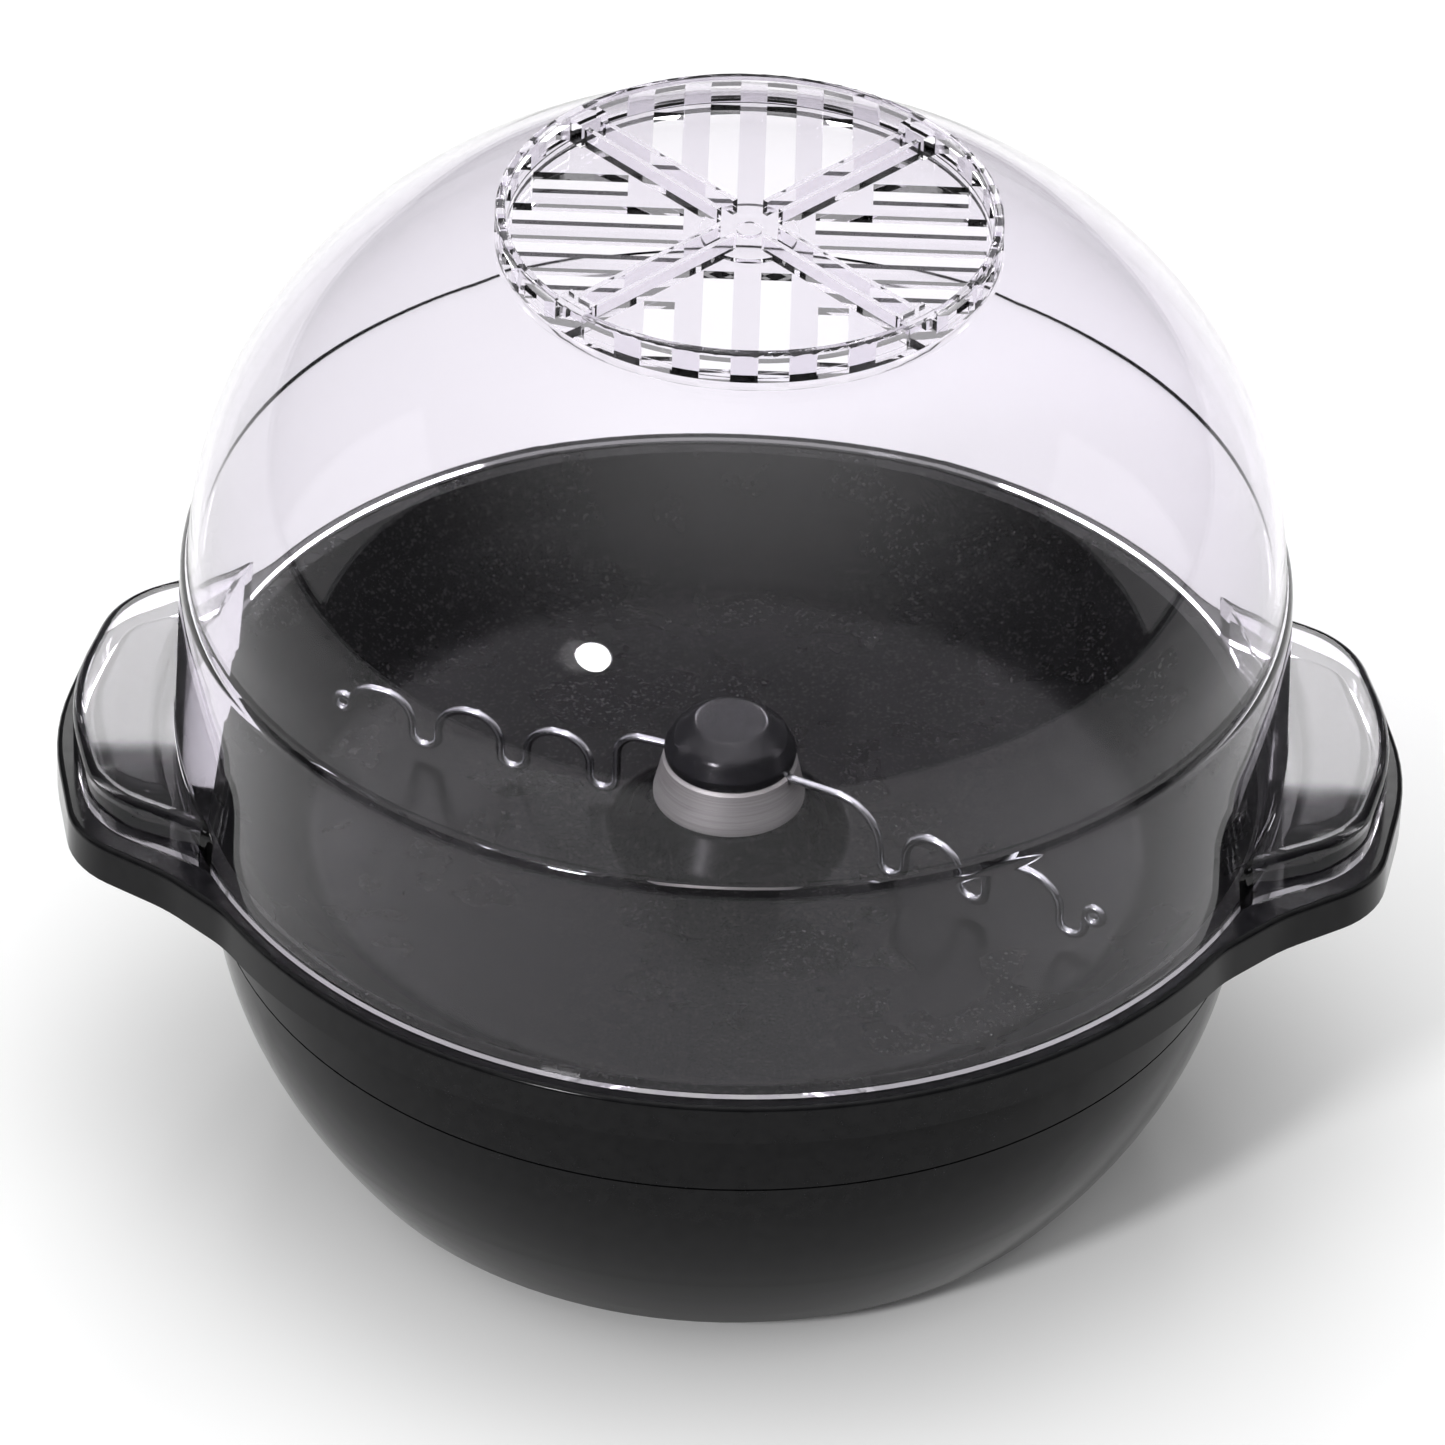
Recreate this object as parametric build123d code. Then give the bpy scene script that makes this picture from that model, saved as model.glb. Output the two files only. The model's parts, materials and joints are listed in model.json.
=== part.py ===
"""Stirring popcorn maker: heated pan, geared stirrer and a clear domed cover.

Millimetres, +Z up. The origin is the middle of the four rubber feet on the table
top, the drive axis is +Z and the two handles lie along X.
"""
from build123d import *
from math import acos, cos, pi, radians, sin, sqrt, tan
import os

# ---------------------------------------------------------------- driving sizes
WALL = 2.5                     # moulded plastic wall
FOOT_H = 1.2                   # height of the foot ring above the table
FOOT_R = 93.0
FOOT_TOP_R = 100.0
SCREW_RING = 86.0              # radius of the four bottom screws
FLOOR_Z = 9.0                  # underside of the lower housing
SEAM_Z = 74.0                  # joint between lower and upper housing
SEAM_R = 133.0
NECK_R = 131.5                 # body just under the rim band
BAND_Z = 100.0                 # underside of the rim band and handles
SEAT_Z = 111.0                 # cover seat, top of the rim band
BAND_R = 146.5
HANDLE_TIP = 174.0
PLATEAU_Z = 120.0              # top of the raised grip under the cover handle

PAN_FLOOR_Z = 86.2
PAN_FLOOR_R = 110.0
PAN_T = 2.0
PAN_RIM_R = 139.5
PAN_RIM_Z = 110.8
HUB_BASE_R = 30.0
HUB_TOP_R = 20.5
HUB_TOP_Z = 97.4

SHAFT_R = 4.0
STUD_R = 2.5
STUD_TOP_Z = 117.5
D_FLAT = 3.0                   # shaft centre to its drive flat
WIRE_R = 1.15
WIRE_Z = 108.5
WAVE_Z = 89.8                  # wire centre at the bottom of its waves
COLLAR_TOP_Z = 109.6
KNOB_Z = 109.9
KNOB_TOP_Z = 121.0
KNOB_R = 17.2

COVER_Z = 111.3                # lower edge of the cover
COVER_R = 143.0
COVER_T = 2.4
CREASE_Z = 172.5
CREASE_R = 141.0
DOME_R = 139.0
DOME_H = 112.0                 # ellipse height that the upper dome follows
VENT_R = 63.0
VENT_BASE_Z = 269.0
VENT_TOP_Z = 277.5
GRILLE_Z = 268.0
COVER_LOBE_Z = 124.0

MODULE = 1.0                   # gear module
PINION_TEETH = 12
GEAR_TEETH = 36
GEAR_CENTRES = MODULE * (PINION_TEETH + GEAR_TEETH) / 2
CASE_Z0 = 45.0                 # gear case, above its bottom plate
CASE_Z1 = 64.0
CASE_R = 22.0
BRACKET_T = 1.6
MOTOR_Z0 = 21.0
MOTOR_R = 21.0
RUN = 0.04                     # radial running clearance of shafts in bushes

LEFT_ARM = 162.0               # directions of the two stirring arms, degrees
RIGHT_ARM = -26.0
PIN_SPOTS = [(26 * cos(radians(135)), 26 * sin(radians(135))),
             (26 * cos(radians(225)), 26 * sin(radians(225))),
             (GEAR_CENTRES + 26 * cos(radians(45)), 26 * sin(radians(45))),
             (GEAR_CENTRES + 26 * cos(radians(-45)), 26 * sin(radians(-45)))]


# ---------------------------------------------------------------- helpers
def cyl(radius, z0, z1, x=0.0, y=0.0):
    """Upright cylinder between two heights."""
    return Pos(x, y, (z0 + z1) / 2) * Cylinder(radius, z1 - z0)


def tube(outer, inner, z0, z1, x=0.0, y=0.0):
    return cyl(outer, z0, z1, x, y) - cyl(inner, z0 - 1, z1 + 1, x, y)


def block(x0, x1, y0, y1, z0, z1):
    mid = Pos((x0 + x1) / 2, (y0 + y1) / 2, (z0 + z1) / 2)
    return mid * Box(x1 - x0, y1 - y0, z1 - z0)


def turned(points):
    """Solid of revolution about Z from (r, z) corners."""
    face = make_face(Polyline(*[(r, 0, z) for r, z in points], close=True))
    return revolve(face, Axis.Z)


def around(angle, shape):
    return Rot(0, 0, angle) * shape


def polar(radius, angle):
    return radius * cos(radians(angle)), radius * sin(radians(angle))


def prism(outline, z0, z1):
    return Pos(0, 0, z0) * extrude(outline, z1 - z0)


def hexagon(across, z0, z1, x, y):
    return Pos(x, y, z0) * extrude(RegularPolygon(across / 2, 6, major_radius=False), z1 - z0)


def lobe(root, shoulder, corner, tip_x, radii):
    """Closed handle outline on +X, symmetric about the X axis, with a bowed tip."""
    upper = [root, shoulder, corner]
    lower = [(x, -y) for x, y in reversed(upper)]
    bends = [radii[0], radii[1], radii[2], radii[1], radii[0]]
    edge = FilletPolyline(*upper, (tip_x, 0), *lower, radius=bends)
    return make_face(edge + Line(lower[-1], root))


def ring_with_lobes(radius, face, blend):
    """Round outline with a handle lobe at each end of X, blended into the circle."""
    outline = Circle(radius) + face + Rot(0, 0, 180) * face
    joins = [v for v in outline.vertices() if abs(Vector(*v).length - radius) < 0.01]
    return fillet(joins, blend)


def both_ends(shape):
    return shape, Rot(0, 0, 180) * shape


def body_radius(z):
    """Outer radius of the lower housing: a round bowl that meets the seam."""
    t = max(0.0, (SEAM_Z - z) / (SEAM_Z - FLOOR_Z))
    return SEAM_R - 26.5 * t ** 1.8


# ---------------------------------------------------------------- housings
def rim_outline(inset=0.0):
    """Outline of the rim band with its two handles, measured in from its outside."""
    face = lobe((104 - inset, 96 - inset), (141 - inset, 61 - inset), (166 - inset, 45 - inset),
                HANDLE_TIP + 0.6 - inset, [50, 26, 90])
    return ring_with_lobes(BAND_R - inset, face, 36)


def plateau_outline(inset=0.0):
    return lobe((120, 41 - inset), (148 - inset, 38 - inset), (158 - inset, 33 - inset),
                166 - inset, [8, 12, 60])


def bowl_face(inset, z0, z1):
    """Half section of the lower housing's space, measured in from its outside."""
    heights = [z0 + (z1 - z0) * i / 6 for i in range(7)]
    curve = Spline(*[(body_radius(z) - inset, 0, z) for z in heights])
    walls = Polyline((body_radius(z1) - inset, 0, z1), (0, 0, z1), (0, 0, z0),
                     (body_radius(z0) - inset, 0, z0))
    return make_face(curve + walls)


def lower_housing():
    shell = revolve(bowl_face(0, FLOOR_Z, SEAM_Z), Axis.Z)
    shell -= revolve(bowl_face(WALL, FLOOR_Z + WALL, SEAM_Z + 0.01), Axis.Z)
    shell -= cyl(84, FLOOR_Z - 1, FLOOR_Z + 5)
    for angle in (45, 135, 225, 315):
        x, y = polar(SCREW_RING, angle)
        shell += cyl(5, FLOOR_Z, 24, x, y)
        shell -= cyl(1.7, FLOOR_Z - 1, 22, x, y)
        post = cyl(4.5, 40, 60, 118) + block(118, 126, -1.5, 1.5, 45, 60)
        shell += around(angle, post - cyl(1.6, 39, 61, 118))
    boss = Pos(0, 111.5, 24) * Rot(90, 0, 0) * Cylinder(10, 13)
    hole = Pos(0, 112, 24) * Rot(90, 0, 0) * Cylinder(6.05, 40)
    flange_room = Pos(0, 124, 24) * Rot(90, 0, 0) * Cylinder(9.5, 12)
    return (shell + boss) - flange_room - hole


def upper_housing():
    """Collar of the base: outer skin, flared pan seat, rim band, handles and grips."""
    ledge_z = PAN_RIM_Z - 1.8
    seat_r = PAN_RIM_R + 0.5
    skin = turned([(SEAM_R - WALL, SEAM_Z), (SEAM_R - 0.5, SEAM_Z), (SEAM_R, SEAM_Z + 0.5),
                   (SEAM_R + 0.3, 84), (NECK_R, BAND_Z - 5), (NECK_R + 2.7, BAND_Z),
                   (142, SEAT_Z - WALL), (142, SEAT_Z), (seat_r, SEAT_Z), (seat_r, ledge_z),
                   (137.5, ledge_z), (NECK_R - WALL, 97.5), (SEAM_R + 0.3 - WALL, 84)])
    band = prism(rim_outline(), BAND_Z, SEAT_Z)
    band = fillet(band.edges().filter_by(lambda e: e.bounding_box().min.Z > SEAT_Z - 0.1), 1.5)
    band -= prism(rim_outline(WALL), BAND_Z - 1, SEAT_Z - WALL)
    band -= cyl(seat_r, BAND_Z - 1, SEAT_Z + 1)
    raised = prism(plateau_outline(), SEAT_Z - 1, PLATEAU_Z)
    raised -= cyl(COVER_R + 3.2, SEAT_Z - 2, PLATEAU_Z + 1)
    raised = fillet(raised.edges().filter_by(lambda e: e.bounding_box().min.Z > PLATEAU_Z - 0.1), 3)
    hollow = prism(plateau_outline(WALL), SEAT_Z - WALL - 1, PLATEAU_Z - WALL)
    hollow -= cyl(COVER_R + 3.2 + WALL, SEAT_Z - WALL - 2, PLATEAU_Z)
    for top, room in zip(both_ends(raised), both_ends(hollow)):
        band = (band + top) - room
    shell = skin + band
    for angle in (45, 135, 225, 315):
        post = cyl(4.5, 60.2, 83, 118) + block(118, 131.5, -1.5, 1.5, SEAM_Z + 1, 83)
        shell += around(angle, post - cyl(1.6, 59, 81, 118))
    return shell


def base_plate():
    ring = turned([(FOOT_R, FOOT_H), (FOOT_TOP_R - 1, FLOOR_Z - 2.5), (FOOT_TOP_R, FLOOR_Z),
                   (FOOT_TOP_R - 4, FLOOR_Z), (FOOT_TOP_R - 5, 5.5), (0, 5.5), (0, 3.0),
                   (FOOT_R - 3, 3.0), (FOOT_R - 3, FOOT_H)])
    for angle in (45, 135, 225, 315):
        x, y = polar(SCREW_RING, angle)
        ring += cyl(5, FOOT_H + 1, FLOOR_Z, x, y)
        ring -= cyl(1.8, 0, FLOOR_Z + 1, x, y)
        ring -= cyl(3.6, 0, 6.0, x, y)
    for angle in (0, 90, 180, 270):
        x, y = polar(76, angle)
        ring -= cyl(3.0, 0, 6, x, y)
    for row in range(-3, 4):
        ring -= block(-24 + abs(row) * 3, 24 - abs(row) * 3, row * 9 - 1.5, row * 9 + 1.5, 2, 6)
    return ring


def rubber_feet():
    """Soft feet, each with a stem through the bottom plate."""
    feet = []
    for angle in (0, 90, 180, 270):
        x, y = polar(76, angle)
        pad = cyl(8, 0, 2.95, x, y)
        pad = chamfer(pad.edges().sort_by(Axis.Z)[0], 0.6)
        feet.append(pad + cyl(2.95, 2.9, 6.5, x, y))
    return Compound(feet)


def screw(head_r, head_z0, head_z1, shank_r, shank_z1, x, y):
    """Cap screw pointing up, with a cross recess in its head."""
    head = cyl(head_r, head_z0, head_z1, x, y) + cyl(shank_r, head_z1 - 0.1, shank_z1, x, y)
    size = head_r * 0.6
    slot = block(x - size, x + size, y - 0.4, y + 0.4, head_z0 - 1, head_z0 + 1.1)
    cross = block(x - 0.4, x + 0.4, y - size, y + size, head_z0 - 1, head_z0 + 1.1)
    return head - slot - cross


def base_screws():
    spots = [polar(SCREW_RING, angle) for angle in (45, 135, 225, 315)]
    return Compound([screw(3.2, 3.4, 6.0, 1.6, 20, x, y) for x, y in spots])


def seam_screws():
    return Compound([screw(2.8, 37.6, 40, 1.5, 78, *polar(118, a)) for a in (45, 135, 225, 315)])


def cord_bush():
    """Round bush in the back wall that a supply cord passes through."""
    body = Cylinder(6.0, 14) + Pos(0, 0, -8.4) * Cylinder(8.5, 2.8)
    bush = body - Cylinder(3.5, 60)
    bush = Pos(0, 111, 24) * Rot(90, 0, 0) * bush
    return bush


# ---------------------------------------------------------------- pan and heat
def pan_profile(lift):
    """Edge of the pan from its hub to its rim, lifted by the pan's thickness."""
    z = PAN_FLOOR_Z - PAN_T + lift
    hub = HUB_TOP_Z - PAN_T + lift
    shift = lift - PAN_T
    return [(6.55, hub), (HUB_TOP_R + shift, hub), (HUB_BASE_R - 4 + shift, z + 3.5),
            (HUB_BASE_R + 1 + shift, z)]


def pan():
    """Shallow non-stick pan: raised hub, flat floor, round flared wall, flat rim."""
    rim_in = 135.8
    top = pan_profile(PAN_T)
    low = pan_profile(0)
    wall_end = (rim_in, PAN_RIM_Z)
    upper = FilletPolyline(*[(r, 0, z) for r, z in top],
                           (PAN_FLOOR_R - 2, 0, PAN_FLOOR_Z), (rim_in - 9, 0, PAN_FLOOR_Z + 14),
                           (rim_in, 0, PAN_RIM_Z), radius=[1.6, 3, 6, 14, 16])
    lower = FilletPolyline(*[(r, 0, z) for r, z in low],
                           (PAN_FLOOR_R - 1.1, 0, PAN_FLOOR_Z - PAN_T),
                           (rim_in - 7.4, 0, PAN_FLOOR_Z + 12.4),
                           (rim_in + 0.9, 0, PAN_RIM_Z - 1.7), radius=[2.4, 3, 5, 16, 14])
    rim = Polyline((wall_end[0], 0, wall_end[1]), (PAN_RIM_R, 0, PAN_RIM_Z),
                   (PAN_RIM_R, 0, PAN_RIM_Z - 1.7), (rim_in + 0.9, 0, PAN_RIM_Z - 1.7))
    hub = Line((low[0][0], 0, low[0][1]), (top[0][0], 0, top[0][1]))
    return revolve(make_face(upper + rim + lower + hub), Axis.Z)


ELEMENT_R = 70.0
ELEMENT_TUBE = 3.5
ELEMENT_Z = PAN_FLOOR_Z - PAN_T - ELEMENT_TUBE - 0.1
ELEMENT_ENDS = (250, 290)      # degrees, where the two cold ends turn down
CUTOUT_SPOT = polar(50, 240)   # thermostat
FUSE_SPOT = polar(52, 125)
FUSE_LEAD = 18.0               # from the fuse's middle to where its leads turn down


def heating_element():
    """Sheathed ring element with two cold ends and terminal pins."""
    circle = Pos(ELEMENT_R, 0, ELEMENT_Z) * Rot(90, 0, 0) * Circle(ELEMENT_TUBE)
    sweep_angle = 360 - (ELEMENT_ENDS[1] - ELEMENT_ENDS[0])
    ring = around(ELEMENT_ENDS[1], revolve(circle, Axis.Z, sweep_angle))
    for angle in ELEMENT_ENDS:
        x, y = polar(ELEMENT_R, angle)
        ring += Pos(x, y, ELEMENT_Z) * Sphere(ELEMENT_TUBE + 0.05)
        ring += cyl(ELEMENT_TUBE - 0.2, ELEMENT_Z - 14, ELEMENT_Z, x, y)
        ring += cyl(1.5, ELEMENT_Z - 21, ELEMENT_Z - 14, x, y)
    return ring


def element_clips():
    """Saddles, welded to the pan, that hold the element ring up."""
    clips = []
    top = PAN_FLOOR_Z - PAN_T
    for angle in (0, 60, 120, 180):
        saddle = block(ELEMENT_R - 7, ELEMENT_R + 7, -5, 5, ELEMENT_Z - 5, top)
        bore = Pos(ELEMENT_R, 0, ELEMENT_Z) * Rot(90, 0, 0) * Cylinder(ELEMENT_TUBE + 0.4, 12)
        slot = block(ELEMENT_R - 3.9, ELEMENT_R + 3.9, -6, 6, ELEMENT_Z, top + 1)
        clips.append(around(angle, saddle - bore - slot))
    return Compound([solid for clip in clips for solid in clip.solids()])


def thermostat():
    """Button thermostat against the pan, with its two tabs."""
    x, y = CUTOUT_SPOT
    top = PAN_FLOOR_Z - PAN_T - 0.05
    body = cyl(8.5, top - 7, top, x, y) + cyl(11, top - 1.2, top, x, y)
    for side in (-1, 1):
        body += block(x + side * 5 - 2.5, x + side * 5 + 2.5, y - 0.4, y + 0.4, top - 14, top - 6.9)
    return body


def thermal_fuse():
    """Axial fuse in a strap under the pan."""
    x, y = FUSE_SPOT
    top = PAN_FLOOR_Z - PAN_T - 0.05
    can = Pos(x, y, top - 3) * Rot(0, 90, 0) * Cylinder(2, 14)
    leads = Pos(x, y, top - 3) * Rot(0, 90, 0) * Cylinder(0.5, 26)
    strap = block(x - 3, x + 3, y - 5, y + 5, top - 6, top)
    room = Pos(x, y, top - 3) * Rot(0, 90, 0) * Cylinder(2, 20)
    return (strap - room) + can + leads


STUD_ANGLES = (90, 210, 330)
STUD_RING = 56.0


def pan_studs():
    """Weld studs under the pan that carry the drive bracket."""
    top = PAN_FLOOR_Z - PAN_T
    return Compound([cyl(2, CASE_Z1 - 4.5, top, *polar(STUD_RING, a))
                     + cyl(4, CASE_Z1 + BRACKET_T, top - 4, *polar(STUD_RING, a))
                     for a in STUD_ANGLES])


def stud_nuts():
    return Compound([hexagon(7, CASE_Z1 - 3.2, CASE_Z1, *polar(STUD_RING, a))
                     - cyl(2.05, CASE_Z1 - 4, CASE_Z1 + 1, *polar(STUD_RING, a))
                     for a in STUD_ANGLES])


def drive_bracket():
    """Pressed plate that hangs the gear case from the pan's studs."""
    plate = cyl(35, CASE_Z1, CASE_Z1 + BRACKET_T) + cyl(18, CASE_Z1, CASE_Z1 + BRACKET_T, 32)
    for angle in STUD_ANGLES:
        arm = block(0, STUD_RING, -7, 7, CASE_Z1, CASE_Z1 + BRACKET_T)
        arm += cyl(7, CASE_Z1, CASE_Z1 + BRACKET_T, STUD_RING)
        plate += around(angle, arm - cyl(2.1, CASE_Z1 - 1, CASE_Z1 + 3, STUD_RING))
        plate -= cyl(2.1, CASE_Z1 - 1, CASE_Z1 + 3, *polar(STUD_RING, angle))
    for x, y in PIN_SPOTS:
        plate -= cyl(1.7, CASE_Z1 - 1, CASE_Z1 + 3, x, y)
    return plate - cyl(7.1, CASE_Z1 - 1, CASE_Z1 + 3)


def heat_shield():
    """Dished reflector between the element and the drive."""
    z = CASE_Z1 + 3.4
    dish = turned([(9, z), (60, z), (88, z + 5), (88, z + 5.8), (59.8, z + 0.8), (9, z + 0.8)])
    for angle in STUD_ANGLES:
        dish -= cyl(4.2, z - 1, z + 3, *polar(STUD_RING, angle))
    for x, y in PIN_SPOTS:
        dish -= cyl(4.2, z - 1, z + 3, x, y)
    for angle in ELEMENT_ENDS:
        dish -= cyl(5, z - 1, z + 9, *polar(ELEMENT_R, angle))
    for side in (-1, 1):
        dish -= cyl(4, z - 1, z + 3, FUSE_SPOT[0] + side * FUSE_LEAD, FUSE_SPOT[1])
    x, y = CUTOUT_SPOT
    return dish - block(x - 9, x + 9, y - 8, y + 3, z - 1, z + 3)


# ---------------------------------------------------------------- drive
def involute(base, radius):
    """Polar angle swept by an involute from its base circle to a radius."""
    alpha = acos(min(1.0, base / radius))
    return tan(alpha) - alpha


def gear(teeth, z0, z1, bore, phase=0.0):
    """Spur gear, 20 degree involute flanks, thinned for backlash."""
    pitch = MODULE * teeth / 2
    base = pitch * cos(radians(20))
    root = pitch - 1.2 * MODULE
    tip = pitch + 0.9 * MODULE
    start = max(base, root + 0.05)
    half = pi / (2 * teeth) * 0.86 + involute(base, pitch)
    flank = [start + (tip - start) * i / 3 for i in range(4)]
    points = []
    for tooth in range(teeth):
        mid = 2 * pi * tooth / teeth + radians(phase)
        left = [(r, mid - half + involute(base, r)) for r in flank]
        right = [(r, mid + half - involute(base, r)) for r in reversed(flank)]
        points += [(root, mid - half), *left, *right, (root, mid + half)]
    outline = Polyline(*[(r * cos(a), r * sin(a)) for r, a in points], close=True)
    return prism(make_face(outline), z0, z1) - cyl(bore, z0 - 1, z1 + 1)


PINION_Z = (CASE_Z0 + 1.5, CASE_Z0 + 7)
MID_Z = (CASE_Z0 + 2, CASE_Z0 + 6.5)
OUTPUT_Z = (CASE_Z0 + 9, CASE_Z0 + 14)
GAP_PHASE = 180 / PINION_TEETH     # turns a gap, not a tooth, towards the mating gear


def pinion():
    return gear(PINION_TEETH, *PINION_Z, bore=1.5, phase=GAP_PHASE)


def compound_gear():
    """Idler with a large wheel below and a small wheel above, on one hub."""
    wheel = gear(GEAR_TEETH, *MID_Z, bore=1.5 + RUN)
    small = gear(PINION_TEETH, MID_Z[1] - 0.1, CASE_Z0 + 15, bore=1.5 + RUN, phase=GAP_PHASE)
    return Pos(GEAR_CENTRES, 0, 0) * (wheel + small)


def output_gear():
    """Wheel on the drive shaft, lightened by a web."""
    wheel = gear(GEAR_TEETH, *OUTPUT_Z, bore=SHAFT_R)
    relief = tube(14.5, 7, OUTPUT_Z[1] - 1.2, OUTPUT_Z[1] + 1)
    return wheel - relief


def case_outline(radius, ears):
    left = Circle(radius)
    right = Pos(GEAR_CENTRES, 0) * Circle(radius)
    middle = Pos(GEAR_CENTRES / 2, 0) * Rectangle(GEAR_CENTRES, 2 * radius)
    outline = left + right + middle
    for x, y in PIN_SPOTS:
        if ears:
            outline += Pos(x, y) * Circle(5)
    return outline


def gear_case():
    case = prism(case_outline(CASE_R, True), CASE_Z0, CASE_Z1)
    case -= prism(case_outline(CASE_R - 2, False), CASE_Z0 - 1, CASE_Z1 - 2)
    for x, y in PIN_SPOTS:
        case -= cyl(1.7, CASE_Z0 - 1, CASE_Z1 + 1, x, y)
    case -= cyl(1.5, CASE_Z0, CASE_Z1 - 1, GEAR_CENTRES)
    return case - cyl(7, CASE_Z0, CASE_Z1 + 1)


def gear_plate():
    plate = case_outline(CASE_R, True)
    for side in (-1, 1):
        plate += Pos(0, side * 25) * Circle(6)
    plate = prism(plate, CASE_Z0 - 2, CASE_Z0)
    for x, y in PIN_SPOTS + [(0, 25), (0, -25)]:
        plate -= cyl(1.7, CASE_Z0 - 3, CASE_Z0 + 1, x, y)
    plate -= cyl(1.5, CASE_Z0 - 3, CASE_Z0 + 1, GEAR_CENTRES)
    return plate - cyl(3.5, CASE_Z0 - 3, CASE_Z0 + 1)


def gear_post():
    return cyl(1.5, CASE_Z0 - 2, CASE_Z1 - 1.2, GEAR_CENTRES)


def case_screws():
    low = CASE_Z0 - 2
    return Compound([screw(3, low - 2.2, low, 1.6, CASE_Z1 + BRACKET_T + 3.5, x, y)
                     for x, y in PIN_SPOTS])


def case_nuts():
    z = CASE_Z1 + BRACKET_T
    return Compound([hexagon(6, z, z + 2.8, x, y) - cyl(1.65, z - 1, z + 4, x, y)
                     for x, y in PIN_SPOTS])


def shaft_bushes():
    """Two flanged sleeves for the drive shaft: gear case top and pan hub."""
    low = cyl(7, CASE_Z1 - 2, CASE_Z1 + 4) + cyl(8, CASE_Z1 - 3, CASE_Z1 - 2)
    high = cyl(6.5, HUB_TOP_Z - 7, HUB_TOP_Z) + cyl(9, HUB_TOP_Z - 7, HUB_TOP_Z - PAN_T - 0.05)
    room = cyl(SHAFT_R + RUN, 40, 120)
    return Compound([(low - room).solid(), (high - room).solid()])


def shaft_seal():
    """Silicone lip ring on the hub, hidden inside the collar."""
    ring = turned([(SHAFT_R + 0.06, HUB_TOP_Z), (9, HUB_TOP_Z), (9, HUB_TOP_Z + 0.8),
                   (6.5, HUB_TOP_Z + 1.2), (5.2, HUB_TOP_Z + 3), (SHAFT_R + 0.06, HUB_TOP_Z + 3)])
    return ring


def drive_shaft():
    """Output shaft: round in its bushes, a D for the collar, a stud for the knob."""
    flat_z = HUB_TOP_Z + 5
    shaft = cyl(SHAFT_R, CASE_Z0 + 8.2, COLLAR_TOP_Z)
    shaft -= block(D_FLAT, SHAFT_R + 1, -5, 5, flat_z, COLLAR_TOP_Z + 1)
    stud = chamfer(cyl(STUD_R, COLLAR_TOP_Z - 0.5, STUD_TOP_Z).edges().sort_by(Axis.Z)[-1], 0.5)
    groove = tube(STUD_R + 1, STUD_R - 0.4, COLLAR_TOP_Z, COLLAR_TOP_Z + 0.8)
    return shaft + (stud - groove)


def motor_can():
    """Drawn steel can with two ears, open towards the gear plate."""
    top = CASE_Z0 - 2
    can = cyl(MOTOR_R, MOTOR_Z0, top)
    can += prism(SlotOverall(60, 10, 90), top - 1.2, top)
    can -= cyl(MOTOR_R - 1, MOTOR_Z0 + 1, top + 1)
    for side in (-1, 1):
        can -= cyl(1.7, top - 3, top + 1, 0, side * 25)
    return can - cyl(3.5, MOTOR_Z0 - 1, MOTOR_Z0 + 2)


def motor_screws():
    low = CASE_Z0 - 3.2
    return Compound([screw(2.8, low - 2, low, 1.6, CASE_Z0, 0, side * 25) for side in (-1, 1)])


def rotor_bushes():
    low = cyl(3.5, MOTOR_Z0, MOTOR_Z0 + 3) + cyl(4.5, MOTOR_Z0 + 1, MOTOR_Z0 + 3)
    high = cyl(3.5, CASE_Z0 - 2, CASE_Z0) + cyl(4.5, CASE_Z0 - 4, CASE_Z0 - 2)
    room = cyl(1.5 + RUN, 10, 60)
    return Compound([(low - room).solid(), (high - room).solid()])


def motor_coil():
    """Wound stator ring inside the can."""
    ring = tube(MOTOR_R - 1.05, 12.5, MOTOR_Z0 + 3.5, CASE_Z0 - 5)
    return ring - tube(MOTOR_R + 5, MOTOR_R - 3, MOTOR_Z0 + 6, CASE_Z0 - 8)


def rotor():
    return tube(11.8, 1.5, MOTOR_Z0 + 4, CASE_Z0 - 6)


def rotor_shaft():
    return cyl(1.5, MOTOR_Z0 + 0.3, CASE_Z0 + 7.6)


# ---------------------------------------------------------------- wiring
BLOCK_Y = 58.0                 # inner side of the terminal block


def terminal_block():
    body = block(-18, 18, BLOCK_Y, BLOCK_Y + 12, 5.5, 17)
    for step in (-12, 0, 12):
        body -= cyl(2.6, 12, 18, step, BLOCK_Y + 6)
        body += cyl(2.4, 11.9, 15, step, BLOCK_Y + 6)
    return body


def lead(points, bend):
    path = FilletPolyline(*points, radius=bend)
    start = Plane(origin=path @ 0, z_dir=path % 0)
    return sweep(start * Circle(1.1), path)


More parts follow.
